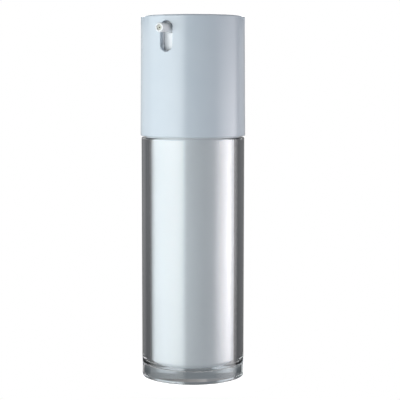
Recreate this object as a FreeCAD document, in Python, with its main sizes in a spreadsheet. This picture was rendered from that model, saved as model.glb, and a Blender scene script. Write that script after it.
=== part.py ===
import FreeCAD, Part
import Sketcher
import math
import os
import re

# Airless pump bottle of 30 ml, in millimetres.
# +Z is up, the origin is on the axis in the resting plane, and the spout points to -Y.

# Driving sizes
DIMENSIONS = {
    # Clear outer bottle
    "body_radius": 17.0,
    "bottle_height": 79.7,
    "bottle_wall": 3.1,
    "base_thickness": 3.5,
    "base_round": 0.25,
    "rim_round": 0.5,
    "foot_width": 3.0,
    "foot_recess": 0.5,
    # Inner bottle, which holds the product
    "bottle_gap": 0.2,
    "base_gap": 0.25,
    "inner_wall": 1.3,
    "inner_floor": 1.2,
    "inner_corner": 2.5,
    "floor_corner": 0.7,
    "vent_radius": 0.9,
    "flange_thickness": 1.5,
    "flange_margin": 0.3,
    "neck_height": 8.5,
    "bead_drop": 2.0,
    "bead_width": 1.8,
    "bead_land": 0.6,
    "bead_rise": 0.6,
    # Follower piston under the product
    "follower_height": 11.0,
    "follower_rest": 0.1,
    "follower_skirt": 1.1,
    "follower_lip": 1.6,
    "lip_edge": 0.4,
    "lip_clearance": 0.06,
    "lip_relief": 0.55,
    "web_height": 4.0,
    "web_thickness": 1.2,
    # Neck gasket and pump housing
    "gasket_thickness": 0.8,
    "pump_flange": 1.5,
    "flange_step": 0.3,
    "plug_depth": 2.3,
    "plug_wall": 1.1,
    "plug_clearance": 0.1,
    "chamber_radius": 3.75,
    "chamber_wall": 1.0,
    "chamber_drop": 2.1,
    # Inlet valve
    "ball_radius": 1.5,
    "ball_lift": 0.8,
    "lift_gap": 0.1,
    "seat_gap": 0.05,
    "pocket_clearance": 0.5,
    "inlet_radius": 0.8,
    "inlet_length": 1.0,
    "cage_thickness": 0.8,
    "cage_clearance": 0.03,
    "cage_hole": 0.6,
    "cage_port": 0.45,
    "cage_port_count": 4,
    # Piston, stem and valve pin
    "stroke": 5.5,
    "press_clearance": 0.4,
    "piston_lag": 0.8,
    "piston_length": 4.5,
    "piston_hub": 0.8,
    "piston_web": 1.2,
    "piston_clearance": 0.04,
    "piston_lip": 1.1,
    "piston_edge": 0.25,
    "piston_relief": 0.35,
    "running_clearance": 0.06,
    "stem_radius": 2.25,
    "stem_bore": 1.2,
    "spigot_wall": 0.6,
    "stop_radius": 3.2,
    "stop_thickness": 1.2,
    "stop_gap": 0.1,
    "port_radius": 0.4,
    "port_rise": 0.9,
    "pin_head": 1.0,
    "pin_head_radius": 2.9,
    "pin_bevel": 0.4,
    "pin_shank": 5.0,
    "press_fit": 0.02,
    "flute_depth": 0.45,
    "flute_width": 0.7,
    "flute_count": 4,
    # Chamber cap
    "cap_plate": 1.5,
    "cap_wall": 0.9,
    "cap_skirt": 4.0,
    "cap_clearance": 0.05,
    # Return spring
    "wire_radius": 0.4,
    "spring_room": 0.7,
    "spring_turns": 7,
    "coil_gap": 0.45,
    "spring_gap": 0.05,
    "spring_guide": 1.0,
    "guide_play": 0.2,
    # Snap collar
    "collar_lid": 1.5,
    "collar_rest": 0.2,
    "collar_room": 1.4,
    "collar_clearance": 0.12,
    "snap_clearance": 0.1,
    "slit_width": 1.0,
    "slit_height": 5.0,
    "slit_count": 6,
    # Outer sleeve and guide collar
    "seam_gap": 0.5,
    "sleeve_overhang": 0.3,
    "sleeve_draft": 0.28,
    "sleeve_wall": 1.3,
    "sleeve_lid": 1.5,
    "sleeve_round": 0.5,
    "opening_round": 0.4,
    "hem_round": 0.25,
    "guide_wall": 1.1,
    "guide_clearance": 0.15,
    "guide_foot": 1.2,
    "guide_ledge": 2.0,
    "slot_width": 4.4,
    "slot_headroom": 0.85,
    "slot_footroom": 0.45,
    "slot_round": 0.2,
    # Actuator
    "stem_grip": 4.0,
    "elbow_rise": 2.25,
    "channel_radius": 1.0,
    "boss_radius": 4.2,
    "core_plate": 1.5,
    "core_clearance": 0.1,
    "arm_radius": 1.9,
    "arm_root": 0.3,
    "arm_gap": 0.2,
    "button_wall": 1.2,
    "button_lid": 1.2,
    "button_gap": 0.25,
    "button_recess": 0.25,
    "button_round": 0.5,
    "dish_depth": 0.8,
    "dish_margin": 1.2,
    "skirt_cover": 2.8,
    "rib_width": 2.0,
    "rib_height": 8.0,
    "rib_rise": 0.5,
    "rib_count": 2,
    # Spout
    "nozzle_radius": 1.5,
    "nozzle_protrusion": 4.2,
    "nozzle_clearance": 0.1,
    "nozzle_round": 0.3,
    "nozzle_bore": 0.95,
    "spigot_length": 3.5,
    "spigot_radius": 1.3,
    "insert_setback": 0.3,
    "insert_length": 1.6,
    "insert_ledge": 0.32,
    "orifice_radius": 0.25,
}

# Sizes and heights that follow from the driving sizes, from the base upwards
LEVELS = {
    # Bottles
    "cavity_radius": "body_radius - bottle_wall",
    "cavity_corner": "inner_corner + bottle_gap",
    "foot_radius": "body_radius - foot_width",
    "inner_radius": "cavity_radius - bottle_gap",
    "bore_radius": "inner_radius - inner_wall",
    "inner_base": "base_thickness + base_gap",
    "floor_top": "inner_base + inner_floor",
    "flange_top": "bottle_height + flange_thickness",
    "neck_top": "bottle_height + neck_height",
    "bead_radius": "inner_radius + bead_rise",
    "bead_top": "neck_top - bead_drop",
    "bead_bottom": "bead_top - bead_width",
    # Follower
    "follower_bottom": "floor_top + floor_corner + follower_rest",
    "follower_top": "follower_bottom + follower_height",
    "lip_radius": "bore_radius - lip_clearance",
    "skirt_radius": "bore_radius - lip_relief",
    "skirt_inner": "skirt_radius - follower_skirt",
    "web_bottom": "follower_bottom + web_height",
    "web_top": "web_bottom + web_thickness",
    # Pump, from the neck upwards
    "gasket_top": "neck_top + gasket_thickness",
    "pump_flange_top": "gasket_top + pump_flange",
    "pump_flange_radius": "inner_radius + flange_step",
    "plug_radius": "bore_radius - plug_clearance",
    "chamber_outer": "chamber_radius + chamber_wall",
    "chamber_floor": "gasket_top - chamber_drop",
    "cage_top": "chamber_floor + cage_thickness",
    "ball_level": "chamber_floor - lift_gap - ball_lift - ball_radius",
    "pocket_radius": "ball_radius + pocket_clearance",
    "pocket_outer": "pocket_radius + chamber_wall",
    "seat_apex": "ball_level - sqrt(2) * (ball_radius + seat_gap)",
    "seat_top": "seat_apex + pocket_radius",
    "inlet_top": "seat_apex + inlet_radius",
    "housing_bottom": "inlet_top - inlet_length",
    "pin_bottom": "cage_top + press_clearance + stroke",
    "pin_top": "pin_bottom + pin_head",
    "pin_radius": "stem_bore - press_fit",
    "spigot_outer": "stem_bore + spigot_wall",
    "piston_bottom": "pin_top + seat_gap",
    "piston_top": "piston_bottom + piston_length",
    "piston_middle": "piston_bottom + piston_length / 2",
    "piston_bore": "spigot_outer + running_clearance",
    "piston_hub_radius": "piston_bore + piston_hub",
    "piston_lip_radius": "chamber_radius - piston_clearance",
    "piston_waist": "chamber_radius - piston_relief",
    "stop_bottom": "piston_top + piston_lag + seat_gap",
    "stop_top": "stop_bottom + stop_thickness",
    "cap_underside": "stop_top + stop_gap",
    "cap_top": "cap_underside + cap_plate",
    "cap_inner": "chamber_outer + cap_clearance",
    "cap_outer": "cap_inner + cap_wall",
    "guide_hole": "stem_radius + running_clearance",
    "spring_radius": "cap_outer + spring_room + wire_radius",
    "spring_seat_radius": "spring_radius - wire_radius - guide_play",
    "spring_step": "pump_flange_top + spring_guide",
    # Actuator, from the chamber cap upwards
    "boss_bottom": "cap_top + press_clearance + stroke",
    "plate_bottom": "boss_bottom + spring_guide",
    "plate_top": "plate_bottom + core_plate",
    "stem_top": "boss_bottom + stem_grip",
    "socket_radius": "stem_radius + press_fit",
    "nozzle_level": "stem_top + elbow_rise",
    "channel_top": "nozzle_level + channel_radius",
    "button_underside": "nozzle_level + arm_radius + core_clearance",
    "button_top": "button_underside + button_lid + dish_depth",
    "dish_floor": "button_top - dish_depth",
    "sleeve_top": "button_top + button_recess",
    "sleeve_seat": "sleeve_top - sleeve_lid",
    "slot_top": "nozzle_level + nozzle_radius + slot_headroom",
    "slot_bottom": "nozzle_level - stroke - nozzle_radius - slot_footroom",
    "button_bottom": "slot_bottom - skirt_cover",
    # Sleeve, collars and button, from the outside inwards
    "sleeve_bottom": "bottle_height + seam_gap",
    "sleeve_hem_radius": "body_radius + sleeve_overhang",
    "sleeve_top_radius": "sleeve_hem_radius - sleeve_draft",
    "sleeve_bore": "sleeve_top_radius - sleeve_wall",
    "flange_radius": "sleeve_bore - flange_margin",
    "collar_radius": "sleeve_bore - collar_clearance",
    "collar_bottom": "flange_top + collar_rest",
    "collar_top": "pump_flange_top + collar_lid",
    "collar_opening": "spring_radius + wire_radius + collar_room",
    "snap_radius": "inner_radius + snap_clearance",
    "snap_top": "bead_bottom - snap_clearance",
    "bead_pocket": "bead_radius + snap_clearance",
    "guide_bore": "collar_radius - guide_wall",
    "button_radius": "guide_bore - guide_clearance",
    "button_inner": "button_radius - button_wall",
    "dish_radius": "button_radius - dish_margin",
    "sleeve_opening": "button_radius + button_gap",
    "plate_radius": "button_inner - core_clearance",
    "rib_radius": "button_radius + rib_rise",
    "groove_radius": "rib_radius + guide_clearance",
    # Spout, measured outwards from the end of the core's arm
    "arm_reach": "button_inner - arm_gap",
    "nozzle_length": "sleeve_top_radius + nozzle_protrusion - arm_reach",
    "nozzle_socket": "spigot_radius + press_fit",
    "spigot_start": "arm_reach - spigot_length - arm_gap",
    "insert_top": "nozzle_length - insert_setback",
    "insert_bottom": "insert_top - insert_length",
    "insert_radius": "nozzle_bore - press_fit",
    "nozzle_duct": "nozzle_bore - insert_ledge",
}

# Sketcher's numbers for its own origin and axes, and for the points of a line, arc or circle
ORIGIN = (-1, 1)
ACROSS_AXIS = -1
UP_AXIS = -2
START, END, CENTRE = 1, 2, 3

UP = FreeCAD.Vector(0, 0, 1)
SAME_PLACE = 1e-4
NO_CHANGE = 1e-4
QUARTER_TURN = math.pi / 2
QUARTERS = 4

# Points that the spring is measured on, and the share of a turn past which two of them lie on different turns
WINDING_SAMPLES = 400
NEXT_TURN = 0.6


def bound(text, inside=""):
    """Write a formula's names as cells of their sheets, bare where the sheet is the one it stands in."""

    def cell(match):
        name = match.group(0)
        if name in DIMENSIONS:
            return f"dims.{name}"
        if name in LEVELS and inside != "levels":
            return f"levels.{name}"
        return name

    return re.sub(r"[a-z][a-z_]*", cell, text)


def fill_sheet(doc, name, cells):
    """A sheet with one named cell in each row."""
    sheet = doc.addObject("Spreadsheet::Sheet", name)
    for row, (alias, content) in enumerate(cells.items(), start=1):
        sheet.set(f"A{row}", alias)
        sheet.set(f"B{row}", content)
        sheet.setAlias(f"B{row}", alias)


def value(doc, name):
    """A named cell's number, or 0 for the plain text 0."""
    if name == "0":
        return 0.0
    sheet = doc.getObject("dims" if name in DIMENSIONS else "levels")
    return float(getattr(sheet, name))


def new_body(doc, label):
    body = doc.addObject("PartDesign::Body", label)
    body.Label = label
    return body


def origin_feature(body, role):
    return next(feature for feature in body.Origin.OriginFeatures if feature.Role == role)


def sketch_on(body, name, role, lift="0"):
    """A sketch on one of the body's own planes, moved along the plane's normal by a formula."""
    sketch = body.newObject("Sketcher::SketchObject", f"{body.Label}_{name}")
    sketch.AttachmentSupport = (origin_feature(body, role), [""])
    sketch.MapMode = "FlatFace"
    if lift != "0":
        sketch.setExpression("AttachmentOffset.Base.z", bound(lift))
    return sketch


def pin_point(sketch, row, end, across, up):
    """Hold a point of a sketch at two formulas. A leading minus sign negates the whole formula."""
    here = sketch.getPoint(row, end)
    ways = (("DistanceX", across, UP_AXIS, here.x), ("DistanceY", up, ACROSS_AXIS, here.y))
    for kind, text, axis, start in ways:
        if text == "0":
            sketch.addConstraint(Sketcher.Constraint("PointOnObject", row, end, axis))
            continue
        points = (*ORIGIN, row, end)
        if text.startswith("-"):
            points = (row, end, *ORIGIN)
        constraint = sketch.addConstraint(Sketcher.Constraint(kind, *points, abs(start)))
        sketch.setExpression(f"Constraints[{constraint}]", bound(text.lstrip("-")))


def draw_outline(sketch, points):
    """A closed outline of straight lines through points given as pairs of formulas."""
    count = len(points)
    first = sketch.GeometryCount
    corners = [FreeCAD.Vector(math.cos(i), math.sin(i), 0) for i in range(1, count + 1)]
    for i in range(count):
        sketch.addGeometry(Part.LineSegment(corners[i], corners[(i + 1) % count]), False)
    for i, (across, up) in enumerate(points):
        following = first + (i + 1) % count
        sketch.addConstraint(Sketcher.Constraint("Coincident", first + i, END, following, START))
        pin_point(sketch, first + i, START, across, up)


def draw_box(sketch, left, right, low, high):
    draw_outline(sketch, [(left, low), (right, low), (right, high), (left, high)])


def draw_circle(sketch, across, up, radius):
    row = sketch.addGeometry(Part.Circle(FreeCAD.Vector(1, 1, 0), UP, 1), False)
    pin_point(sketch, row, CENTRE, across, up)
    constraint = sketch.addConstraint(Sketcher.Constraint("Radius", row, 1.0))
    sketch.setExpression(f"Constraints[{constraint}]", bound(radius))


def finish_feature(doc, body, feature):
    """Rebuild, and stop if the feature left the body as it was."""
    base = feature.BaseFeature or body.Tip
    before = base.Shape.Volume
    doc.recompute()
    if abs(feature.Shape.Volume - before) < NO_CHANGE:
        raise RuntimeError(f"{feature.Label} changes nothing")
    body.Tip = feature
    return feature


def turn(doc, label, points):
    """A body turned about Z from an outline of radii and heights."""
    body = new_body(doc, label)
    sketch = sketch_on(body, "outline", "XZ_Plane")
    draw_outline(sketch, points)
    feature = body.newObject("PartDesign::Revolution", f"{label}_turn")
    feature.Profile = sketch
    feature.ReferenceAxis = (sketch, ["V_Axis"])
    feature.Angle = 360
    doc.recompute()
    return body


def cut(doc, body, sketch, length="", onward=False, both_ways=False):
    """Cut a sketch's outline against its normal, onward or both ways, right through if no length is given."""
    feature = body.newObject("PartDesign::Pocket", f"{sketch.Label}_cut")
    feature.Profile = sketch
    feature.Reversed = onward
    if both_ways:
        feature.SideType = "Symmetric"
    if length:
        feature.setExpression("Length", bound(length))
    else:
        feature.Type = "ThroughAll"
    return finish_feature(doc, body, feature)


def pad(doc, body, sketch, length):
    feature = body.newObject("PartDesign::Pad", f"{sketch.Label}_pad")
    feature.Profile = sketch
    feature.setExpression("Length", bound(length))
    return finish_feature(doc, body, feature)


def repeat_round(doc, body, feature, count):
    """Repeat a feature evenly about Z."""
    pattern = body.newObject("PartDesign::PolarPattern", f"{feature.Label}_ring")
    pattern.Originals = [feature]
    pattern.Axis = (origin_feature(body, "Z_Axis"), [""])
    pattern.Angle = 360
    pattern.setExpression("Occurrences", bound(count))
    return finish_feature(doc, body, pattern)


def ring_edges(doc, shape, rings):
    """Names of the round edges about Z at the given radii and heights."""
    places = [(value(doc, radius), value(doc, height)) for radius, height in rings]
    names = []
    for number, edge in enumerate(shape.Edges, start=1):
        if not isinstance(edge.Curve, Part.Circle):
            continue
        here = (edge.Curve.Radius, edge.Curve.Center.z)
        if any(math.dist(here, place) < SAME_PLACE for place in places):
            names.append(f"Edge{number}")
    return names


def round_edges(doc, body, size, names):
    feature = body.newObject("PartDesign::Fillet", f"{body.Label}_{size}")
    feature.Base = (feature.BaseFeature, names)
    feature.setExpression("Radius", bound(size))
    finish_feature(doc, body, feature)


def round_rings(doc, body, size, rings):
    round_edges(doc, body, size, ring_edges(doc, body.Tip.Shape, rings))


# Bottles


def outer_bottle(doc):
    """Clear bottle with a heavy base and a shallow recess under it."""
    body = turn(doc, "outer_bottle", [
        ("0", "foot_recess"),
        ("foot_radius", "foot_recess"),
        ("foot_radius", "0"),
        ("body_radius", "0"),
        ("body_radius", "bottle_height"),
        ("cavity_radius", "bottle_height"),
        ("cavity_radius", "base_thickness"),
        ("0", "base_thickness"),
    ])
    round_rings(doc, body, "cavity_corner", [("cavity_radius", "base_thickness")])
    round_rings(doc, body, "base_round", [("body_radius", "0")])
    rim = [("body_radius", "bottle_height"), ("cavity_radius", "bottle_height")]
    round_rings(doc, body, "rim_round", rim)
    return body


def inner_bottle(doc):
    """Reservoir with an air hole in its floor, a flange on the clear bottle and a neck with a snap bead."""
    body = turn(doc, "inner_bottle", [
        ("vent_radius", "inner_base"),
        ("inner_radius", "inner_base"),
        ("inner_radius", "bottle_height"),
        ("flange_radius", "bottle_height"),
        ("flange_radius", "flange_top"),
        ("inner_radius", "flange_top"),
        ("inner_radius", "bead_bottom"),
        ("bead_radius", "bead_bottom"),
        ("bead_radius", "bead_bottom + bead_land"),
        ("inner_radius", "bead_top"),
        ("inner_radius", "neck_top"),
        ("bore_radius", "neck_top"),
        ("bore_radius", "floor_top"),
        ("vent_radius", "floor_top"),
    ])
    round_rings(doc, body, "inner_corner", [("inner_radius", "inner_base")])
    round_rings(doc, body, "floor_corner", [("bore_radius", "floor_top")])
    return body


def follower_piston(doc):
    """Piston with a flared lip at each end and a web that dishes round the pump's inlet."""
    return turn(doc, "follower_piston", [
        ("0", "web_bottom"),
        ("skirt_inner", "web_bottom"),
        ("lip_radius - lip_edge", "follower_bottom"),
        ("lip_radius", "follower_bottom"),
        ("skirt_radius", "follower_bottom + follower_lip"),
        ("skirt_radius", "follower_top - follower_lip"),
        ("lip_radius", "follower_top"),
        ("lip_radius - lip_edge", "follower_top"),
        ("skirt_inner", "web_top"),
        ("0", "web_top"),
    ])


# Pump


def neck_gasket(doc):
    return turn(doc, "neck_gasket", [
        ("bore_radius", "neck_top"),
        ("inner_radius", "neck_top"),
        ("inner_radius", "gasket_top"),
        ("bore_radius", "gasket_top"),
    ])


def pump_housing(doc):
    """Chamber with a conical ball seat, a flange over the neck and a plug ring inside it."""
    return turn(doc, "pump_housing", [
        ("inlet_radius", "housing_bottom"),
        ("inlet_radius + chamber_wall", "housing_bottom"),
        ("pocket_outer", "seat_top"),
        ("pocket_outer", "chamber_floor - chamber_wall"),
        ("chamber_outer", "chamber_floor - chamber_wall"),
        ("chamber_outer", "gasket_top"),
        ("plug_radius - plug_wall", "gasket_top"),
        ("plug_radius - plug_wall", "gasket_top - plug_depth"),
        ("plug_radius", "gasket_top - plug_depth"),
        ("plug_radius", "gasket_top"),
        ("pump_flange_radius", "gasket_top"),
        ("pump_flange_radius", "pump_flange_top"),
        ("spring_seat_radius", "pump_flange_top"),
        ("spring_seat_radius", "spring_step"),
        ("chamber_outer", "spring_step"),
        ("chamber_outer", "cap_underside"),
        ("chamber_radius", "cap_underside"),
        ("chamber_radius", "chamber_floor"),
        ("pocket_radius", "chamber_floor"),
        ("pocket_radius", "seat_top"),
        ("inlet_radius", "inlet_top"),
    ])


def inlet_ball(doc):
    ball = doc.addObject("Part::Sphere", "inlet_ball")
    ball.Label = "inlet_ball"
    ball.setExpression("Radius", bound("ball_radius"))
    ball.setExpression("Placement.Base.z", bound("ball_level"))
    return ball


def ball_cage(doc):
    """Disc on the chamber floor with a ring of ports over the ball's pocket."""
    body = turn(doc, "ball_cage", [
        ("cage_hole", "chamber_floor"),
        ("chamber_radius - cage_clearance", "chamber_floor"),
        ("chamber_radius - cage_clearance", "cage_top"),
        ("cage_hole", "cage_top"),
    ])
    sketch = sketch_on(body, "port", "XY_Plane", "cage_top")
    draw_circle(sketch, "(cage_hole + pocket_radius) / 2", "0", "cage_port")
    port = cut(doc, body, sketch, "cage_thickness")
    repeat_round(doc, body, port, "cage_port_count")
    return body


def pump_piston(doc):
    """Hub that slides on the stem's spigot, with a flared lip at each end of its skirt."""
    return turn(doc, "pump_piston", [
        ("piston_bore", "piston_bottom"),
        ("piston_hub_radius", "piston_bottom"),
        ("piston_hub_radius", "piston_middle - piston_web / 2"),
        ("piston_lip_radius - piston_edge", "piston_bottom + seat_gap"),
        ("piston_lip_radius", "piston_bottom + seat_gap"),
        ("piston_waist", "piston_bottom + piston_lip"),
        ("piston_waist", "piston_top - piston_lip"),
        ("piston_lip_radius", "piston_top - seat_gap"),
        ("piston_lip_radius - piston_edge", "piston_top - seat_gap"),
        ("piston_hub_radius", "piston_middle + piston_web / 2"),
        ("piston_hub_radius", "piston_top"),
        ("piston_bore", "piston_top"),
    ])


def pump_stem(doc):
    """Hollow stem with a stop under the chamber cap and side ports above the pin's head."""
    body = turn(doc, "pump_stem", [
        ("stem_bore", "pin_top"),
        ("spigot_outer", "pin_top"),
        ("spigot_outer", "stop_bottom"),
        ("stop_radius", "stop_bottom"),
        ("stop_radius", "stop_top"),
        ("stem_radius", "stop_top"),
        ("stem_radius", "stem_top"),
        ("stem_bore", "stem_top"),
    ])
    for name, plane in (("side_port", "YZ_Plane"), ("front_port", "XZ_Plane")):
        sketch = sketch_on(body, name, plane)
        draw_circle(sketch, "0", "pin_top + port_rise", "port_radius")
        cut(doc, body, sketch, both_ways=True)
    return body


def valve_pin(doc):
    """Pin pressed into the stem, fluted so that product passes it, with a head under the piston."""
    body = turn(doc, "valve_pin", [
        ("0", "pin_bottom"),
        ("pin_head_radius - pin_bevel", "pin_bottom"),
        ("pin_head_radius", "pin_bottom + pin_bevel"),
        ("pin_head_radius", "pin_top"),
        ("pin_radius", "pin_top"),
        ("pin_radius", "pin_top + pin_shank"),
        ("0", "pin_top + pin_shank"),
    ])
    sketch = sketch_on(body, "flute", "XY_Plane", "pin_top + pin_shank")
    draw_box(sketch, "pin_radius - flute_depth", "pin_head_radius", "-(flute_width / 2)", "flute_width / 2")
    flute = cut(doc, body, sketch, "pin_shank")
    repeat_round(doc, body, flute, "flute_count")
    return body


def chamber_cap(doc):
    """Plate with the stem's guide hole and a skirt over the chamber."""
    return turn(doc, "chamber_cap", [
        ("guide_hole", "cap_underside"),
        ("cap_inner", "cap_underside"),
        ("cap_inner", "cap_underside - cap_skirt"),
        ("cap_outer", "cap_underside - cap_skirt"),
        ("cap_outer", "cap_top"),
        ("guide_hole", "cap_top"),
    ])


def biarc(start, leave, end, arrive):
    """Two arcs from one point and direction to another, smooth where they meet."""
    chord = end - start
    sum_of_ways = leave + arrive
    lead = chord.dot(sum_of_ways)
    slack = 4 - sum_of_ways.dot(sum_of_ways)
    arm = (math.sqrt(lead * lead + slack * chord.dot(chord)) - lead) / slack
    corners = (start + leave * arm, end - arrive * arm)
    meeting = (corners[0] + corners[1]) * 0.5
    arcs = []
    for near, corner, far in ((start, corners[0], meeting), (meeting, corners[1], end)):
        half_turn = (corner - near).getAngle(far - corner) / 2
        middle = (near + far) * 0.5
        bulge = math.cos(half_turn) / (1 + math.cos(half_turn))
        arcs.append(Part.Arc(near, middle + (corner - middle) * bulge, far).toShape())
    return arcs


def return_spring(doc):
    """Wound spring between the pump flange and the core's plate, with closer end turns."""
    radius = value(doc, "spring_radius")
    wire = value(doc, "wire_radius")
    turns = int(value(doc, "spring_turns"))
    margin = wire + value(doc, "spring_gap")
    seat = value(doc, "pump_flange_top")
    length = value(doc, "plate_bottom") - seat
    open_count = QUARTERS * (turns - 2)
    close_rise = (2 * wire + value(doc, "coil_gap")) / QUARTERS
    open_rise = (length - 2 * margin - 2 * QUARTERS * close_rise) / open_count
    end_turn = [close_rise] * QUARTERS
    rises = end_turn + [open_rise] * open_count + end_turn
    heights = [margin + sum(rises[:i]) for i in range(len(rises) + 1)]
    points = []
    ways = []
    for i, height in enumerate(heights):
        angle = i * QUARTER_TURN
        climb = (rises[max(i - 1, 0)] + rises[min(i, len(rises) - 1)]) / 2
        points.append(FreeCAD.Vector(radius * math.cos(angle), radius * math.sin(angle), height))
        way = FreeCAD.Vector(-math.sin(angle), math.cos(angle), climb / (radius * QUARTER_TURN))
        ways.append(way.normalize())
    arcs = []
    for i in range(len(rises)):
        arcs.extend(biarc(points[i], ways[i], points[i + 1], ways[i + 1]))
    path = Part.Wire(arcs)
    pipe = Part.BRepOffsetAPI.MakePipeShell(path)
    pipe.add(Part.Wire(Part.Circle(points[0], ways[0], wire).toShape()), False, False)
    pipe.build()
    pipe.makeSolid()
    spring = doc.addObject("Part::Feature", "return_spring")
    spring.Label = "return_spring"
    spring.Shape = pipe.shape()
    spring.Placement = FreeCAD.Placement(FreeCAD.Vector(0, 0, seat), FreeCAD.Rotation())
    report_winding(path, 2 * math.pi * radius, wire, spring.Shape.Volume)
    return spring


def report_winding(path, turn_length, wire, volume):
    """Print the winding's least gap to itself, and its volume beside its section times its length."""
    samples = path.discretize(Number=WINDING_SAMPLES)
    skip = int(len(samples) * NEXT_TURN * turn_length / path.Length)
    nearest = min(
        samples[i].distanceToPoint(samples[j])
        for i in range(len(samples))
        for j in range(i + skip, len(samples))
    )
    print(f"spring: least gap {nearest - 2 * wire:.3f} mm")
    print(f"spring: volume {volume:.3f}, section times length {math.pi * wire ** 2 * path.Length:.3f} mm3")


# Collars and sleeve


def snap_collar(doc):
    """Collar that snaps under the neck's bead and holds the pump flange down, slit into fingers."""
    body = turn(doc, "snap_collar", [
        ("snap_radius", "collar_bottom"),
        ("collar_radius", "collar_bottom"),
        ("collar_radius", "collar_top"),
        ("collar_opening", "collar_top"),
        ("collar_opening", "pump_flange_top"),
        ("bead_pocket", "pump_flange_top"),
        ("bead_pocket", "snap_top"),
        ("snap_radius", "snap_top"),
    ])
    sketch = sketch_on(body, "slit", "XY_Plane", "collar_bottom")
    draw_box(sketch, "inner_radius", "sleeve_bore", "-(slit_width / 2)", "slit_width / 2")
    slit = cut(doc, body, sketch, "slit_height", onward=True)
    repeat_round(doc, body, slit, "slit_count")
    return body


def guide_collar(doc):
    """Liner that stands on the snap collar, guides the button and has the spout's slot, open upwards."""
    body = turn(doc, "guide_collar", [
        ("guide_bore - guide_ledge", "collar_top"),
        ("collar_radius", "collar_top"),
        ("collar_radius", "sleeve_seat"),
        ("guide_bore", "sleeve_seat"),
        ("guide_bore", "collar_top + guide_foot"),
        ("guide_bore - guide_ledge", "collar_top + guide_foot"),
    ])
    slot = sketch_on(body, "slot", "XZ_Plane")
    draw_box(slot, "-(slot_width / 2)", "slot_width / 2", "slot_bottom", "sleeve_seat")
    cut(doc, body, slot, onward=True)
    groove = sketch_on(body, "groove", "XY_Plane", "sleeve_seat")
    half_width = "rib_width / 2 + guide_clearance"
    draw_box(groove, "button_inner", "groove_radius", f"-({half_width})", half_width)
    feature = cut(doc, body, groove, "sleeve_seat - button_bottom + stroke + press_clearance")
    repeat_round(doc, body, feature, "rib_count")
    return body


def draw_upright_slot(doc, sketch, width, low, high):
    """An upright slot with round ends, centred on the sketch's up axis."""
    half = value(doc, width) / 2
    bottom = value(doc, low) + half
    top = value(doc, high) - half
    corners = [(-half, bottom), (half, bottom), (half, top), (-half, top)]
    points = [FreeCAD.Vector(across, up, 0) for across, up in corners]
    ends = [(bottom, math.pi, 2 * math.pi), (top, 0, math.pi)]
    arcs = [
        Part.ArcOfCircle(Part.Circle(FreeCAD.Vector(0, up, 0), UP, half), start, end)
        for up, start, end in ends
    ]
    lower, right, upper, left = (
        sketch.addGeometry(shape, False)
        for shape in (arcs[0], Part.LineSegment(points[1], points[2]),
                      arcs[1], Part.LineSegment(points[3], points[0]))
    )
    for one, other in ((lower, right), (right, upper), (upper, left), (left, lower)):
        sketch.addConstraint(Sketcher.Constraint("Coincident", one, END, other, START))
    bottom_text = f"{low} + {width} / 2"
    top_text = f"{high} - {width} / 2"
    pin_point(sketch, right, START, f"{width} / 2", bottom_text)
    pin_point(sketch, right, END, f"{width} / 2", top_text)
    pin_point(sketch, left, START, f"-({width} / 2)", top_text)
    pin_point(sketch, left, END, f"-({width} / 2)", bottom_text)
    for arc, text, start in ((lower, bottom_text, bottom), (upper, top_text, top)):
        constraint = sketch.addConstraint(Sketcher.Constraint("DistanceY", *ORIGIN, arc, CENTRE, start))
        sketch.setExpression(f"Constraints[{constraint}]", bound(text))


def slot_mouth_edges(doc, shape):
    """Names of the slot's edges on the outside of the sleeve."""
    half = value(doc, "slot_width") / 2
    wall_middle = value(doc, "sleeve_bore") + value(doc, "sleeve_wall") / 2
    low = value(doc, "slot_bottom") - SAME_PLACE
    high = value(doc, "slot_top") + SAME_PLACE
    names = []
    for number, edge in enumerate(shape.Edges, start=1):
        middle = edge.valueAt((edge.FirstParameter + edge.LastParameter) / 2)
        ends = [vertex.Point for vertex in edge.Vertexes]
        in_slot = middle.y < 0 and all(abs(point.x) < half + SAME_PLACE for point in ends + [middle])
        outside = all(math.hypot(point.x, point.y) > wall_middle for point in ends + [middle])
        if in_slot and outside and low < middle.z < high:
            names.append(f"Edge{number}")
    return names


def outer_sleeve(doc):
    """Drafted sleeve with a lid round the button and a closed slot for the spout."""
    body = turn(doc, "outer_sleeve", [
        ("sleeve_bore", "sleeve_bottom"),
        ("sleeve_hem_radius", "sleeve_bottom"),
        ("sleeve_top_radius", "sleeve_top"),
        ("sleeve_opening", "sleeve_top"),
        ("sleeve_opening", "sleeve_seat"),
        ("sleeve_bore", "sleeve_seat"),
    ])
    round_rings(doc, body, "sleeve_round", [("sleeve_top_radius", "sleeve_top")])
    round_rings(doc, body, "opening_round", [("sleeve_opening", "sleeve_top")])
    round_rings(doc, body, "hem_round", [("sleeve_hem_radius", "sleeve_bottom")])
    slot = sketch_on(body, "slot", "XZ_Plane")
    draw_upright_slot(doc, slot, "slot_width", "slot_bottom", "slot_top")
    cut(doc, body, slot, onward=True)
    round_edges(doc, body, "slot_round", slot_mouth_edges(doc, body.Tip.Shape))
    return body


# Actuator


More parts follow.
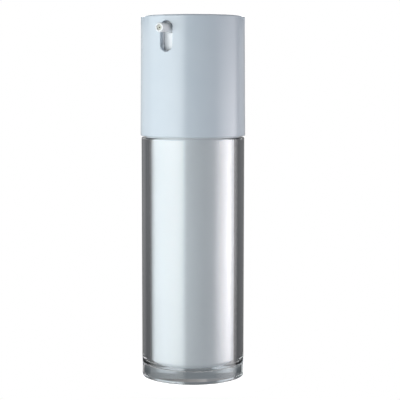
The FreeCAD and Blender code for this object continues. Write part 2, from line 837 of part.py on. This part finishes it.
def actuator_core(doc):
    """Boss that grips the stem, a plate over the spring and an arm with the channel to the spout."""
    body = turn(doc, "actuator_core", [
        ("socket_radius", "boss_bottom"),
        ("spring_seat_radius", "boss_bottom"),
        ("spring_seat_radius", "plate_bottom"),
        ("plate_radius", "plate_bottom"),
        ("plate_radius", "plate_top"),
        ("boss_radius", "plate_top"),
        ("boss_radius", "button_underside"),
        ("0", "button_underside"),
        ("0", "channel_top"),
        ("channel_radius", "channel_top"),
        ("channel_radius", "stem_top"),
        ("socket_radius", "stem_top"),
    ])
    arm = sketch_on(body, "arm", "XZ_Plane", "channel_radius + arm_root")
    draw_circle(arm, "0", "nozzle_level", "arm_radius")
    pad(doc, body, arm, "arm_reach - channel_radius - arm_root")
    channel = sketch_on(body, "channel", "XZ_Plane")
    draw_circle(channel, "0", "nozzle_level", "channel_radius")
    cut(doc, body, channel, onward=True)
    socket = sketch_on(body, "socket", "XZ_Plane", "spigot_start")
    draw_circle(socket, "0", "nozzle_level", "nozzle_socket")
    cut(doc, body, socket, onward=True)
    return body


def dish(doc, body):
    """Hollow the button's top to a shallow bowl for the fingertip."""
    reach = value(doc, "dish_radius")
    depth = value(doc, "dish_depth")
    floor = value(doc, "dish_floor")
    bowl = (reach ** 2 + depth ** 2) / (2 * depth)
    centre = FreeCAD.Vector(0, floor + bowl, 0)
    low = FreeCAD.Vector(0, floor, 0)
    rim = FreeCAD.Vector(reach, floor + depth, 0)
    top = FreeCAD.Vector(0, floor + depth, 0)
    sketch = sketch_on(body, "dish", "XZ_Plane")
    start = -QUARTER_TURN
    arc = sketch.addGeometry(
        Part.ArcOfCircle(Part.Circle(centre, UP, bowl), start, start + math.asin(reach / bowl)), False)
    across = sketch.addGeometry(Part.LineSegment(rim, top), False)
    down = sketch.addGeometry(Part.LineSegment(top, low), False)
    for one, other in ((arc, across), (across, down), (down, arc)):
        sketch.addConstraint(Sketcher.Constraint("Coincident", one, END, other, START))
    pin_point(sketch, across, START, "dish_radius", "button_top")
    pin_point(sketch, down, START, "0", "button_top")
    pin_point(sketch, down, END, "0", "dish_floor")
    sketch.addConstraint(Sketcher.Constraint("PointOnObject", arc, CENTRE, UP_AXIS))
    feature = body.newObject("PartDesign::Groove", "button_cap_dish_cut")
    feature.Profile = sketch
    feature.ReferenceAxis = (sketch, ["V_Axis"])
    feature.Angle = 360
    finish_feature(doc, body, feature)


def button_cap(doc):
    """Inverted cup that the finger presses, dished on top, with guide ribs and a hole for the spout."""
    body = turn(doc, "button_cap", [
        ("0", "button_underside"),
        ("button_inner", "button_underside"),
        ("button_inner", "button_bottom"),
        ("button_radius", "button_bottom"),
        ("button_radius", "button_top"),
        ("0", "button_top"),
    ])
    round_rings(doc, body, "button_round", [("button_radius", "button_top")])
    dish(doc, body)
    hole = sketch_on(body, "hole", "XZ_Plane")
    draw_circle(hole, "0", "nozzle_level", "nozzle_radius + nozzle_clearance")
    cut(doc, body, hole, onward=True)
    rib = sketch_on(body, "rib", "XY_Plane", "button_bottom")
    draw_box(rib, "button_inner + button_wall / 2", "rib_radius", "-(rib_width / 2)", "rib_width / 2")
    feature = pad(doc, body, rib, "rib_height")
    repeat_round(doc, body, feature, "rib_count")
    return body


def point_forward(body):
    """Lay a body that is turned about Z along -Y, with its zero at the end of the core's arm."""
    lying = FreeCAD.Rotation(FreeCAD.Vector(1, 0, 0), 90)
    body.Placement = FreeCAD.Placement(FreeCAD.Vector(0, 0, 0), lying)
    body.setExpression("Placement.Base.y", bound("-arm_reach"))
    body.setExpression("Placement.Base.z", bound("nozzle_level"))


def turn_negative_foot(doc, label, points, foot, foot_radius, bore):
    """A turned body whose narrow foot reaches back below its own zero."""
    body = turn(doc, label, points)
    sketch = sketch_on(body, "foot", "XY_Plane", f"-({foot})")
    draw_circle(sketch, "0", "0", foot_radius)
    draw_circle(sketch, "0", "0", bore)
    pad(doc, body, sketch, foot)
    return body


def nozzle_tip(doc):
    """Spout tube with a spigot in the core's arm and a seat for the orifice piece."""
    body = turn_negative_foot(doc, "nozzle_tip", [
        ("nozzle_duct", "0"),
        ("nozzle_radius", "0"),
        ("nozzle_radius", "nozzle_length"),
        ("nozzle_bore", "nozzle_length"),
        ("nozzle_bore", "insert_bottom"),
        ("nozzle_duct", "insert_bottom"),
    ], "spigot_length", "spigot_radius", "nozzle_duct")
    round_rings(doc, body, "nozzle_round", [("nozzle_radius", "nozzle_length")])
    point_forward(body)
    return body


def nozzle_insert(doc):
    """Orifice piece, set back in the spout's mouth."""
    body = turn(doc, "nozzle_insert", [
        ("orifice_radius", "insert_bottom"),
        ("insert_radius", "insert_bottom"),
        ("insert_radius", "insert_top"),
        ("orifice_radius", "insert_top"),
    ])
    point_forward(body)
    return body


PIECES = (
    outer_bottle,
    inner_bottle,
    follower_piston,
    neck_gasket,
    pump_housing,
    inlet_ball,
    ball_cage,
    pump_piston,
    pump_stem,
    valve_pin,
    chamber_cap,
    return_spring,
    snap_collar,
    guide_collar,
    outer_sleeve,
    actuator_core,
    button_cap,
    nozzle_tip,
    nozzle_insert,
)


def check(doc, pieces):
    """Stop if any object failed to build, or a piece isn't one valid solid."""
    failed = [thing.Name for thing in doc.Objects if {"Invalid", "Error"} & set(thing.State)]
    for piece in pieces:
        if piece.Shape.isNull() or not piece.Shape.isValid() or len(piece.Shape.Solids) != 1:
            failed.append(piece.Label)
    if failed:
        raise RuntimeError("not built: " + ", ".join(failed))


def main():
    doc = FreeCAD.newDocument("airless_pump_bottle")
    fill_sheet(doc, "dims", {name: str(size) for name, size in DIMENSIONS.items()})
    fill_sheet(doc, "levels", {name: "=" + bound(text, "levels") for name, text in LEVELS.items()})
    doc.recompute()
    pieces = [make(doc) for make in PIECES]
    doc.recompute()
    check(doc, pieces)
    os.makedirs("parts", exist_ok=True)
    for piece in pieces:
        piece.Shape.exportStep(f"parts/{piece.Label}.step")
        print(f"{piece.Label}: {piece.Shape.Volume:.1f} mm3")


main()
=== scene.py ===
import math

import bpy
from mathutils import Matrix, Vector

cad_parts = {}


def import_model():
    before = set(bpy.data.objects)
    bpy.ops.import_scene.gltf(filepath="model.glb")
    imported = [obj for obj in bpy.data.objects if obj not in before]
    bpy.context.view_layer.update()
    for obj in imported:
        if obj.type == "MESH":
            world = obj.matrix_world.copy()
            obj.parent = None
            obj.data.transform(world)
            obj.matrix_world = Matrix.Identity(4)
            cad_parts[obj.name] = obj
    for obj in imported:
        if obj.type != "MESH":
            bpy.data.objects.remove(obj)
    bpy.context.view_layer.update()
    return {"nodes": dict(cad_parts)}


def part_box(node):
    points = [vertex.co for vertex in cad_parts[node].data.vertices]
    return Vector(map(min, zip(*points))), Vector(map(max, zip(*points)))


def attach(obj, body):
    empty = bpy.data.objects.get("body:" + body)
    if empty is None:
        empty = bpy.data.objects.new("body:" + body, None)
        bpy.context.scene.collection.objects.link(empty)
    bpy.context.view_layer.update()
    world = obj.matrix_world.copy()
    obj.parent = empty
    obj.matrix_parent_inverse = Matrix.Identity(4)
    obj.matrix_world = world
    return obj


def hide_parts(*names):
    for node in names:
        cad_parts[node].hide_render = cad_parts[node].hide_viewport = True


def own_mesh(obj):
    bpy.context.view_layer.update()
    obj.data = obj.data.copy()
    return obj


# Airless pump bottle: materials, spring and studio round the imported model, in metres.

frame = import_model()

# Photograph's camera, fitted to the rims, the seam and the base
PHOTO_WIDTH = 400
AXIS_PIXEL = 192.9
CAMERA_DISTANCE = 0.4148
CAMERA_HEIGHT = 0.0994
CAMERA_AZIMUTH = math.radians(30.0)
CAMERA_TILT = math.radians(5.610)
CAMERA_CLIP = 0.01
LENS_MM = 112.67
SENSOR_MM = 36.0

# Materials
NOISE_LOW = 0.3
NOISE_HIGH = 0.7
ACRYLIC_IOR = 1.49
PEARL_COAT = 0.25
PEARL_COAT_ROUGHNESS = 0.12
GRAIN_SIZE = 0.0003
GRAIN_DEPTH = 3e-7
DRIFT_SIZE = 0.012
ROUGHNESS_SPREAD = 0.03
SCATTER_RADIUS = (1.0, 0.9, 0.8)
SCATTER_SCALE = 0.0012

# Moulded plastics: darkest and lightest colour, roughness, and share of light scattered inside
PLASTICS = {
    "sleeve_plastic": ((0.545, 0.613, 0.685), (0.568, 0.632, 0.700), 0.13, 0.0),
    "liner_plastic": ((0.72, 0.74, 0.78), (0.78, 0.80, 0.83), 0.35, 0.0),
    "spout_plastic": ((0.84, 0.86, 0.88), (0.89, 0.90, 0.92), 0.28, 0.0),
    "beige_plastic": ((0.52, 0.52, 0.46), (0.60, 0.60, 0.53), 0.45, 0.0),
    "waxy_plastic": ((0.84, 0.84, 0.81), (0.89, 0.89, 0.87), 0.45, 0.3),
    "natural_plastic": ((0.80, 0.80, 0.76), (0.86, 0.86, 0.83), 0.38, 0.3),
}
MOULDED_NODES = {
    "sleeve_plastic": ("outer_sleeve",),
    "liner_plastic": ("guide_collar", "snap_collar"),
    "spout_plastic": ("nozzle_tip", "actuator_core", "button_cap"),
    "beige_plastic": ("nozzle_insert",),
    "waxy_plastic": ("follower_piston", "pump_piston"),
    "natural_plastic": ("pump_housing", "ball_cage", "pump_stem", "valve_pin", "chamber_cap"),
}

# Return spring
WIRE_RADIUS = 0.0004
SPRING_TURNS = 7
END_TURN_RISE = 0.00125
STEPS_PER_TURN = 48
WIRE_SIDES = 12

# Studio round the object
WALL_RADIUS = 0.80
WALL_LOW = -1.20
UPPER_WALL_LOW = 0.04
HIGH_WALL_LOW = 0.15
TOP_WALL_LOW = 0.191
WALL_HIGH = 0.40
PANEL_RADIUS = 0.72
PANEL_LOW = -0.70
BACKDROP_HIGH = 0.06
BACK_PANEL_LOW = 0.23
COLUMN_DEGREES = 1.0
CEILING_STEP = 5
CEILING_RADIANCE = 0.25
FLOOR_STEP = 3
FLOOR_RADIUS = 0.030
FLOOR_DROP = 0.00002
FLOOR_COLOUR = (0.85, 0.85, 0.85)
FLOOR_GLOW = 0.95
CARD_HALF = 0.019
FILL_RADIANCE = 0.2
GLOSSY_BOUNCES = 6

# Colours of the lights
WHITE = (1.0, 1.0, 1.0)
KEY_COLOUR = (0.957, 1.0, 1.0)
STRIP_COLOUR = (1.0, 0.97, 0.99)
COOL = (0.87, 0.98, 1.06)
SLIGHTLY_COOL = (0.97, 1.0, 1.05)

# Profiles give radiance by degrees to the right of the way to the camera, and rows a share of it by height.

# Wall: its dark lower parts behind give the clear bottle its dark edges
UPPER_WALL_PROFILE = (
    (-180.0, 0.50), (-160.0, 0.55), (-145.0, 0.65), (-122.0, 1.15), (-112.0, 0.90), (-19.0, 0.22),
    (30.0, 0.28), (60.0, 0.90), (116.0, 0.90), (135.0, 0.70), (160.0, 0.40), (180.0, 0.35),
)
UPPER_WALL_ROWS = ((UPPER_WALL_LOW, 1.0), (HIGH_WALL_LOW, 1.0))
HIGH_WALL_PROFILE = (
    (-180.0, 0.19), (-165.0, 0.20), (-157.0, 0.32), (-148.0, 0.45), (-140.0, 0.24), (-130.0, 0.12),
    (130.0, 0.12), (145.0, 0.20), (153.0, 0.40), (165.0, 0.40), (170.0, 0.20), (180.0, 0.19),
)
HIGH_WALL_ROWS = ((HIGH_WALL_LOW, 1.0), (TOP_WALL_LOW, 1.0))
TOP_WALL_PROFILE = (
    (-180.0, 0.19), (-148.0, 0.20), (-130.0, 0.12), (130.0, 0.12), (160.0, 0.19), (180.0, 0.19),
)
TOP_WALL_ROWS = ((TOP_WALL_LOW, 1.0), (WALL_HIGH, 1.0))
LOWER_WALL_PROFILE = (
    (-180.0, 0.30), (-172.0, 0.30), (-162.0, 0.22), (-150.0, 0.11),
    (-126.0, 0.11), (-118.0, 0.30), (-19.0, 0.56), (30.0, 0.56),
    (60.0, 0.90), (108.0, 0.90), (116.0, 0.115), (172.0, 0.115), (180.0, 0.30),
)
LOWER_WALL_ROWS = ((WALL_LOW, 0.3), (-0.35, 0.65), (-0.13, 0.85), (-0.03, 1.05), (UPPER_WALL_LOW, 1.05))

# Panels in front of the wall: a grey one straight behind, the key on the left and a strip on the right
BACKDROP_PROFILE = ((168.0, 0.1), (178.0, 0.25), (182.0, 0.25), (188.0, 0.35), (190.0, 0.35))
BACKDROP_ROWS = ((WALL_LOW, 1.0), (BACKDROP_HIGH, 1.0))
KEY_PROFILE = (
    (-112.0, 1.33), (-104.0, 1.70), (-90.0, 2.50), (-70.0, 3.45), (-45.0, 4.35),
    (-31.0, 4.15), (-23.0, 3.20), (-16.0, 0.95), (-13.0, 0.50),
)
KEY_ROWS = (
    (PANEL_LOW, 0.05), (-0.35, 0.45), (-0.13, 0.72), (-0.06, 0.88),
    (0.02, 0.92), (0.06, 1.10), (0.16, 1.10), (0.26, 0.1),
)
STRIP_PROFILE = (
    (50.0, 0.78), (60.0, 2.55), (70.0, 3.82), (81.0, 4.75),
    (96.0, 5.15), (104.0, 4.20), (112.0, 1.60), (116.0, 0.40),
)
STRIP_ROWS = (
    (PANEL_LOW, 0.02), (-0.26, 0.07), (-0.14, 0.75), (-0.06, 0.98),
    (0.02, 0.90), (0.06, 0.95), (0.11, 0.64), (0.20, 0.1),
)

# Panel high behind, for the back and the top
BACK_PROFILE = ((140.0, 4.0), (220.0, 4.0))
BACK_ROWS = ((BACK_PANEL_LOW, 1.0), (WALL_HIGH, 1.0))

# Card under the foot: painted shine of the lights and painted shade at its edges, as radiance by the
# distance to the right of its middle
CARD_PAINTED_SHINE_PROFILE = (
    (-CARD_HALF, 0.14), (-0.0118, 0.14), (-0.0105, 0.45), (-0.0040, 0.45), (-0.0027, 0.17),
    (0.0070, 0.17), (0.0085, 0.50), (0.0125, 0.50), (0.0135, 0.14), (CARD_HALF, 0.14),
)


def blank_material(name):
    """A material with no nodes yet, and its tree."""
    material = bpy.data.materials.new(name)
    material.use_nodes = True
    material.node_tree.nodes.clear()
    return material, material.node_tree


def new_material(name):
    """A material with one shader, and the tree to add its detail to."""
    material, tree = blank_material(name)
    shader = tree.nodes.new("ShaderNodeBsdfPrincipled")
    output = tree.nodes.new("ShaderNodeOutputMaterial")
    tree.links.new(shader.outputs["BSDF"], output.inputs["Surface"])
    return material, tree, shader


def grain(tree, size, detail=2.0, stretch=(1.0, 1.0, 1.0)):
    """Noise fixed to the piece, with blotches about size across."""
    coordinates = tree.nodes.new("ShaderNodeTexCoord")
    mapping = tree.nodes.new("ShaderNodeMapping")
    mapping.inputs["Scale"].default_value = [1.0 / (size * factor) for factor in stretch]
    noise = tree.nodes.new("ShaderNodeTexNoise")
    noise.inputs["Scale"].default_value = 1.0
    noise.inputs["Detail"].default_value = detail
    tree.links.new(coordinates.outputs["Object"], mapping.inputs["Vector"])
    tree.links.new(mapping.outputs["Vector"], noise.inputs["Vector"])
    return noise.outputs["Fac"]


def vary(tree, noise, low, high, socket):
    """Move a shader's number between two values with the noise."""
    spread = tree.nodes.new("ShaderNodeMapRange")
    spread.inputs["From Min"].default_value = NOISE_LOW
    spread.inputs["From Max"].default_value = NOISE_HIGH
    spread.inputs["To Min"].default_value = low
    spread.inputs["To Max"].default_value = high
    tree.links.new(noise, spread.inputs["Value"])
    tree.links.new(spread.outputs["Result"], socket)


def tint(tree, noise, dark, light, socket):
    """Move a shader's colour between two colours with the noise."""
    ramp = tree.nodes.new("ShaderNodeValToRGB")
    first, last = ramp.color_ramp.elements
    first.position = NOISE_LOW
    first.color = (*dark, 1.0)
    last.position = NOISE_HIGH
    last.color = (*light, 1.0)
    tree.links.new(noise, ramp.inputs["Fac"])
    tree.links.new(ramp.outputs["Color"], socket)


def relief(tree, noise, depth, shader):
    """Raise and sink the surface by the noise, to a depth in metres."""
    bump = tree.nodes.new("ShaderNodeBump")
    bump.inputs["Distance"].default_value = depth
    tree.links.new(noise, bump.inputs["Height"])
    tree.links.new(bump.outputs["Normal"], shader.inputs["Normal"])


def clear_acrylic():
    """Polished clear acrylic with the faint waves of a thick moulding."""
    material, tree, shader = new_material("clear_acrylic")
    drift = grain(tree, size=0.03)
    polish = grain(tree, size=0.002)
    waves = grain(tree, size=0.02)
    shader.inputs["Transmission Weight"].default_value = 1.0
    shader.inputs["IOR"].default_value = ACRYLIC_IOR
    tint(tree, drift, (0.985, 0.992, 0.995), (0.995, 0.998, 1.0), shader.inputs["Base Color"])
    vary(tree, polish, 0.0, 0.012, shader.inputs["Roughness"])
    relief(tree, waves, 2e-6, shader)
    return material


def pearl_plastic():
    """Silver-white pearl plastic: fine flakes in a semi-gloss skin."""
    material, tree, shader = new_material("pearl_plastic")
    flakes = grain(tree, size=0.00012, detail=3.0)
    shader.inputs["Coat Weight"].default_value = PEARL_COAT
    shader.inputs["Coat Roughness"].default_value = PEARL_COAT_ROUGHNESS
    tint(tree, flakes, (0.76, 0.82, 0.875), (0.815, 0.865, 0.905), shader.inputs["Base Color"])
    vary(tree, flakes, 0.24, 0.34, shader.inputs["Roughness"])
    relief(tree, flakes, 4e-7, shader)
    return material


def moulded_plastic(name, dark, light, roughness, scatter):
    """Moulded plastic: a fine grain in its gloss and slow drifts in its colour."""
    material, tree, shader = new_material(name)
    fine = grain(tree, GRAIN_SIZE)
    drift = grain(tree, DRIFT_SIZE)
    tint(tree, drift, dark, light, shader.inputs["Base Color"])
    vary(tree, fine, roughness - ROUGHNESS_SPREAD, roughness + ROUGHNESS_SPREAD, shader.inputs["Roughness"])
    relief(tree, fine, GRAIN_DEPTH, shader)
    if scatter:
        shader.inputs["Subsurface Weight"].default_value = scatter
        shader.inputs["Subsurface Radius"].default_value = SCATTER_RADIUS
        shader.inputs["Subsurface Scale"].default_value = SCATTER_SCALE
    return material


def foam_sheet():
    """Foamed gasket sheet, with closed cells that show as fine pits."""
    material, tree, shader = new_material("foam_sheet")
    cells = grain(tree, size=0.0002, detail=4.0)
    tint(tree, cells, (0.58, 0.59, 0.60), (0.76, 0.77, 0.78), shader.inputs["Base Color"])
    vary(tree, cells, 0.6, 0.8, shader.inputs["Roughness"])
    relief(tree, cells, 2e-5, shader)
    return material


def bright_steel():
    """Bright stainless steel with fine drawing marks."""
    material, tree, shader = new_material("bright_steel")
    marks = grain(tree, size=0.00005, stretch=(20.0, 20.0, 1.0))
    drift = grain(tree, size=0.002)
    shader.inputs["Metallic"].default_value = 1.0
    tint(tree, drift, (0.55, 0.56, 0.58), (0.66, 0.67, 0.69), shader.inputs["Base Color"])
    vary(tree, marks, 0.16, 0.30, shader.inputs["Roughness"])
    relief(tree, marks, 1e-6, shader)
    return material


def dress(material, *names):
    """Give CAD nodes their material."""
    for name in names:
        mesh = frame["nodes"][name].data
        mesh.materials.clear()
        mesh.materials.append(material)


def dress_all():
    """Give all CAD nodes their materials, and return the steel for the spring."""
    steel = bright_steel()
    dress(clear_acrylic(), "outer_bottle")
    dress(pearl_plastic(), "inner_bottle")
    dress(foam_sheet(), "neck_gasket")
    dress(steel, "inlet_ball")
    for name, nodes in MOULDED_NODES.items():
        dress(moulded_plastic(name, *PLASTICS[name]), *nodes)
    return steel


def mesh_object(name, points, faces, smooth=True):
    """A new object from points and faces."""
    mesh = bpy.data.meshes.new(name)
    mesh.from_pydata(points, [], faces)
    if smooth:
        mesh.shade_smooth()
    thing = bpy.data.objects.new(name, mesh)
    bpy.context.scene.collection.objects.link(thing)
    return thing


def spring_line(low, high, radius):
    """Points along the spring's wire: closer end turns, and even turns between them."""
    open_rise = (high - low - 2 * END_TURN_RISE) / (SPRING_TURNS - 2)
    points = []
    for step in range(SPRING_TURNS * STEPS_PER_TURN + 1):
        turns = step / STEPS_PER_TURN
        height = END_TURN_RISE * min(turns, 1.0)
        height += open_rise * min(max(turns - 1.0, 0.0), SPRING_TURNS - 2)
        height += END_TURN_RISE * max(turns - SPRING_TURNS + 1.0, 0.0)
        angle = 2 * math.pi * turns
        points.append(Vector((radius * math.cos(angle), radius * math.sin(angle), low + height)))
    return points


def spring_mesh(line):
    """A tube along the wire, closed at both ends."""
    points = []
    faces = []
    for step, centre in enumerate(line):
        outward = Vector((centre.x, centre.y, 0)).normalized()
        along = (line[min(step + 1, len(line) - 1)] - line[max(step - 1, 0)]).normalized()
        upward = along.cross(outward)
        for side in range(WIRE_SIDES):
            angle = 2 * math.pi * side / WIRE_SIDES
            points.append(centre + WIRE_RADIUS * (outward * math.cos(angle) + upward * math.sin(angle)))
    for step in range(len(line) - 1):
        for side in range(WIRE_SIDES):
            after = (side + 1) % WIRE_SIDES
            row, above = step * WIRE_SIDES, (step + 1) * WIRE_SIDES
            faces.append((row + side, above + side, above + after, row + after))
    last = (len(line) - 1) * WIRE_SIDES
    faces.append(tuple(range(WIRE_SIDES)))
    faces.append(tuple(reversed(range(last, last + WIRE_SIDES))))
    return mesh_object("return_spring_wire", points, faces)


def build_spring(steel):
    """The return spring, which in the real pump shortens as the button goes down; here it is a fixed coil
    on the bottle.
    """
    low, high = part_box("return_spring")
    radius = high.x - WIRE_RADIUS
    spring = spring_mesh(spring_line(low.z + WIRE_RADIUS, high.z - WIRE_RADIUS, radius))
    spring.data.materials.append(steel)
    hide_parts("return_spring")
    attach(spring, "bottle")
    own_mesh(spring)


def round_about(degrees, radius, height):
    """A point round the object, by its angle to the right of the way to the camera."""
    angle = CAMERA_AZIMUTH + math.radians(degrees)
    return Vector((radius * math.sin(angle), -radius * math.cos(angle), height))


def profile_at(profile, degrees):
    """The radiance of a profile at an angle, in straight runs between its points."""
    for (start, low), (end, high) in zip(profile, profile[1:]):
        if start <= degrees <= end:
            return low + (high - low) * (degrees - start) / (end - start)
    raise ValueError(degrees)


def glow_material(name, colour, sampled):
    """Light of the strength that the mesh's own glow attribute gives."""
    material, tree = blank_material(name)
    strength = tree.nodes.new("ShaderNodeAttribute")
    strength.attribute_name = "glow"
    light = tree.nodes.new("ShaderNodeEmission")
    light.inputs["Color"].default_value = (*colour, 1.0)
    output = tree.nodes.new("ShaderNodeOutputMaterial")
    tree.links.new(strength.outputs["Fac"], light.inputs["Strength"])
    tree.links.new(light.outputs["Emission"], output.inputs["Surface"])
    material.cycles.emission_sampling = "AUTO" if sampled else "NONE"
    return material


def add_glow(thing, values, sampled, colour=WHITE):
    """Make a part of the stage glow by its points' values, unseen by the camera."""
    attribute = thing.data.attributes.new("glow", "FLOAT", "POINT")
    attribute.data.foreach_set("value", values)
    thing.data.materials.append(glow_material(thing.name, colour, sampled))
    thing.visible_camera = False


def curved_panel(name, profile, rows, radius, sampled, colour=WHITE):
    """An upright curved panel that glows by its profile and its rows."""
    start, end = profile[0][0], profile[-1][0]
    columns = round((end - start) / COLUMN_DEGREES)
    points = []
    values = []
    faces = []
    for column in range(columns + 1):
        degrees = start + (end - start) * column / columns
        for height, share in rows:
            points.append(round_about(degrees, radius, height))
            values.append(share * profile_at(profile, degrees))
    for column in range(columns):
        for row in range(len(rows) - 1):
            here = column * len(rows) + row
            after = here + len(rows)
            faces.append((here, here + 1, after + 1, after))
    add_glow(mesh_object(name, points, faces), values, sampled, colour)


def level_disc(name, radius, height, step, smooth):
    """A level disc of one face."""
    points = [round_about(degrees, radius, height) for degrees in range(0, 360, step)]
    return mesh_object(name, points, [tuple(range(len(points)))], smooth)


def ceiling():
    thing = level_disc("ceiling", WALL_RADIUS, WALL_HIGH, CEILING_STEP, smooth=True)
    add_glow(thing, [CEILING_RADIANCE] * len(thing.data.vertices), False)


def math_node(tree, operation, first, second):
    """The result of a math node on a socket and a second socket or number."""
    node = tree.nodes.new("ShaderNodeMath")
    node.operation = operation
    tree.links.new(first, node.inputs[0])
    if isinstance(second, float):
        node.inputs[1].default_value = second
    else:
        tree.links.new(second, node.inputs[1])
    return node.outputs[0]


def shown_rays(tree):
    """1 for rays that show the studio, also in gloss and glass, and 0 for those that light a surface."""
    path = tree.nodes.new("ShaderNodeLightPath")
    shown = math_node(tree, "MAXIMUM", path.outputs["Is Camera Ray"], path.outputs["Is Glossy Ray"])
    shown = math_node(tree, "MAXIMUM", shown, path.outputs["Is Transmission Ray"])
    direct = math_node(tree, "LESS_THAN", path.outputs["Diffuse Depth"], 0.5)
    return math_node(tree, "MULTIPLY", shown, direct)


def floor_material():
    """Pale cloth, with a glow that makes it white to the eye."""
    material, tree = blank_material("floor")
    cloth = tree.nodes.new("ShaderNodeBsdfDiffuse")
    cloth.inputs["Color"].default_value = (*FLOOR_COLOUR, 1.0)
    glow = tree.nodes.new("ShaderNodeEmission")
    both = tree.nodes.new("ShaderNodeAddShader")
    output = tree.nodes.new("ShaderNodeOutputMaterial")
    tree.links.new(math_node(tree, "MULTIPLY", shown_rays(tree), FLOOR_GLOW), glow.inputs["Strength"])
    tree.links.new(cloth.outputs["BSDF"], both.inputs[0])
    tree.links.new(glow.outputs["Emission"], both.inputs[1])
    tree.links.new(both.outputs["Shader"], output.inputs["Surface"])
    material.cycles.emission_sampling = "NONE"
    return material


def floor():
    """A small round floor that takes the object's shadow, left out of gloss and glass."""
    thing = level_disc("floor", FLOOR_RADIUS, -FLOOR_DROP, FLOOR_STEP, smooth=False)
    thing.data.materials.append(floor_material())
    thing.visible_glossy = False
    thing.visible_transmission = False


def painted_shine_card():
    """A card under the foot that only glass sees, glowing with a painted shine of the lights and painted
    shade at its edges.
    """
    points = []
    values = []
    for right, radiance in CARD_PAINTED_SHINE_PROFILE:
        for near in (-CARD_HALF, CARD_HALF):
            points.append(round_about(90.0, right, 0.0) + round_about(0.0, near, -FLOOR_DROP / 2))
            values.append(radiance)
    faces = [(here, here + 1, here + 3, here + 2) for here in range(0, len(points) - 2, 2)]
    thing = mesh_object("painted_shine_card", points, faces, smooth=False)
    # The glow paints pools of the lights' shine and the shade at the card's edges
    add_glow(thing, values, False, COOL)
    thing.visible_diffuse = False
    thing.visible_glossy = False
    thing.visible_shadow = False


def background(tree, strength):
    """A plain white background of one strength."""
    node = tree.nodes.new("ShaderNodeBackground")
    node.inputs["Color"].default_value = (*WHITE, 1.0)
    node.inputs["Strength"].default_value = strength
    return node.outputs["Background"]


def world():
    """White wherever the background shows, and a weak even fill for the light that it gives."""
    studio = bpy.data.worlds.new("studio")
    bpy.context.scene.world = studio
    studio.use_nodes = True
    tree = studio.node_tree
    tree.nodes.clear()
    mix = tree.nodes.new("ShaderNodeMixShader")
    output = tree.nodes.new("ShaderNodeOutputWorld")
    tree.links.new(shown_rays(tree), mix.inputs[0])
    tree.links.new(background(tree, FILL_RADIANCE), mix.inputs[1])
    tree.links.new(background(tree, 1.0), mix.inputs[2])
    tree.links.new(mix.outputs["Shader"], output.inputs["Surface"])


def build_studio():
    """The stage: walls, panels, ceiling, floor and background."""
    curved_panel("upper_wall", UPPER_WALL_PROFILE, UPPER_WALL_ROWS, WALL_RADIUS, False)
    curved_panel("high_wall", HIGH_WALL_PROFILE, HIGH_WALL_ROWS, WALL_RADIUS, False, COOL)
    curved_panel("top_wall", TOP_WALL_PROFILE, TOP_WALL_ROWS, WALL_RADIUS, False, COOL)
    curved_panel("lower_wall", LOWER_WALL_PROFILE, LOWER_WALL_ROWS, WALL_RADIUS, False, SLIGHTLY_COOL)
    curved_panel("backdrop", BACKDROP_PROFILE, BACKDROP_ROWS, PANEL_RADIUS, False)
    curved_panel("key_panel", KEY_PROFILE, KEY_ROWS, PANEL_RADIUS, True, KEY_COLOUR)
    curved_panel("strip_panel", STRIP_PROFILE, STRIP_ROWS, PANEL_RADIUS, True, STRIP_COLOUR)
    curved_panel("back_panel", BACK_PROFILE, BACK_ROWS, PANEL_RADIUS, True)
    ceiling()
    floor()
    painted_shine_card()
    world()


def place_camera():
    """The camera, where the photograph was taken from."""
    lens = bpy.data.cameras.new("camera")
    lens.lens = LENS_MM
    lens.sensor_width = SENSOR_MM
    lens.shift_x = 0.5 - AXIS_PIXEL / PHOTO_WIDTH
    lens.clip_start = CAMERA_CLIP
    camera = bpy.data.objects.new("camera", lens)
    bpy.context.scene.collection.objects.link(camera)
    camera.location = round_about(0.0, CAMERA_DISTANCE, CAMERA_HEIGHT)
    camera.rotation_euler = (math.pi / 2 - CAMERA_TILT, 0.0, CAMERA_AZIMUTH)
    bpy.context.scene.camera = camera


build_spring(dress_all())
build_studio()
place_camera()
bpy.context.scene.view_settings.view_transform = "Standard"
bpy.context.scene.cycles.glossy_bounces = GLOSSY_BOUNCES
